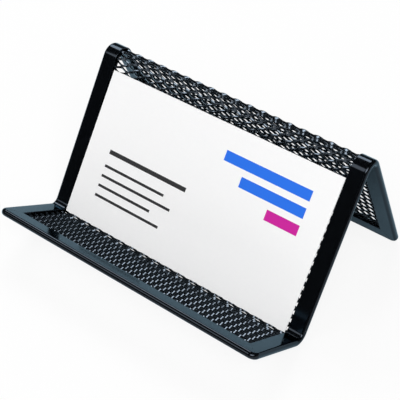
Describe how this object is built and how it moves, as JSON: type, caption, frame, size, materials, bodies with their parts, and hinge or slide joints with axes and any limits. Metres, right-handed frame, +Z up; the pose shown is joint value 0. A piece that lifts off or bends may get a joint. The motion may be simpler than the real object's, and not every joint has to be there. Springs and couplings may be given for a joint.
{
  "type": "business card holder",
  "caption": "Desk stand of black expanded-metal mesh in a folded channel frame, bent into a tray, a leaning upright and a rear leg, with a business card standing in it.",
  "frame": {"origin": "middle of the stand's outline on the table that it stands on", "axes": "+X along the width to the viewer's right, +Y from the tray's front to the rear leg, +Z up"},
  "size_m": [0.102, 0.0784, 0.0473],
  "materials": {
    "black_paint": "glossy black paint",
    "black_mesh": "satin black paint on expanded steel",
    "card_stock": "smooth white card with a plain printed design"
  },
  "bodies": {
    "stand": {"left_side_strip": "black_paint", "right_side_strip": "black_paint", "front_strip": "black_paint", "rear_strip": "black_paint", "tray_mesh": "black_mesh", "heel_mesh": "black_mesh", "back_mesh": "black_mesh", "ridge_mesh": "black_mesh", "leg_mesh": "black_mesh"},
    "card": {"business_card": "card_stock"}
  },
  "joints": [
    {"name": "card_lift", "type": "slide", "parent": "stand", "child": "card", "axis": [0, 0.5667, 0.8239], "range_m": [0, 0.06]}
  ]
}
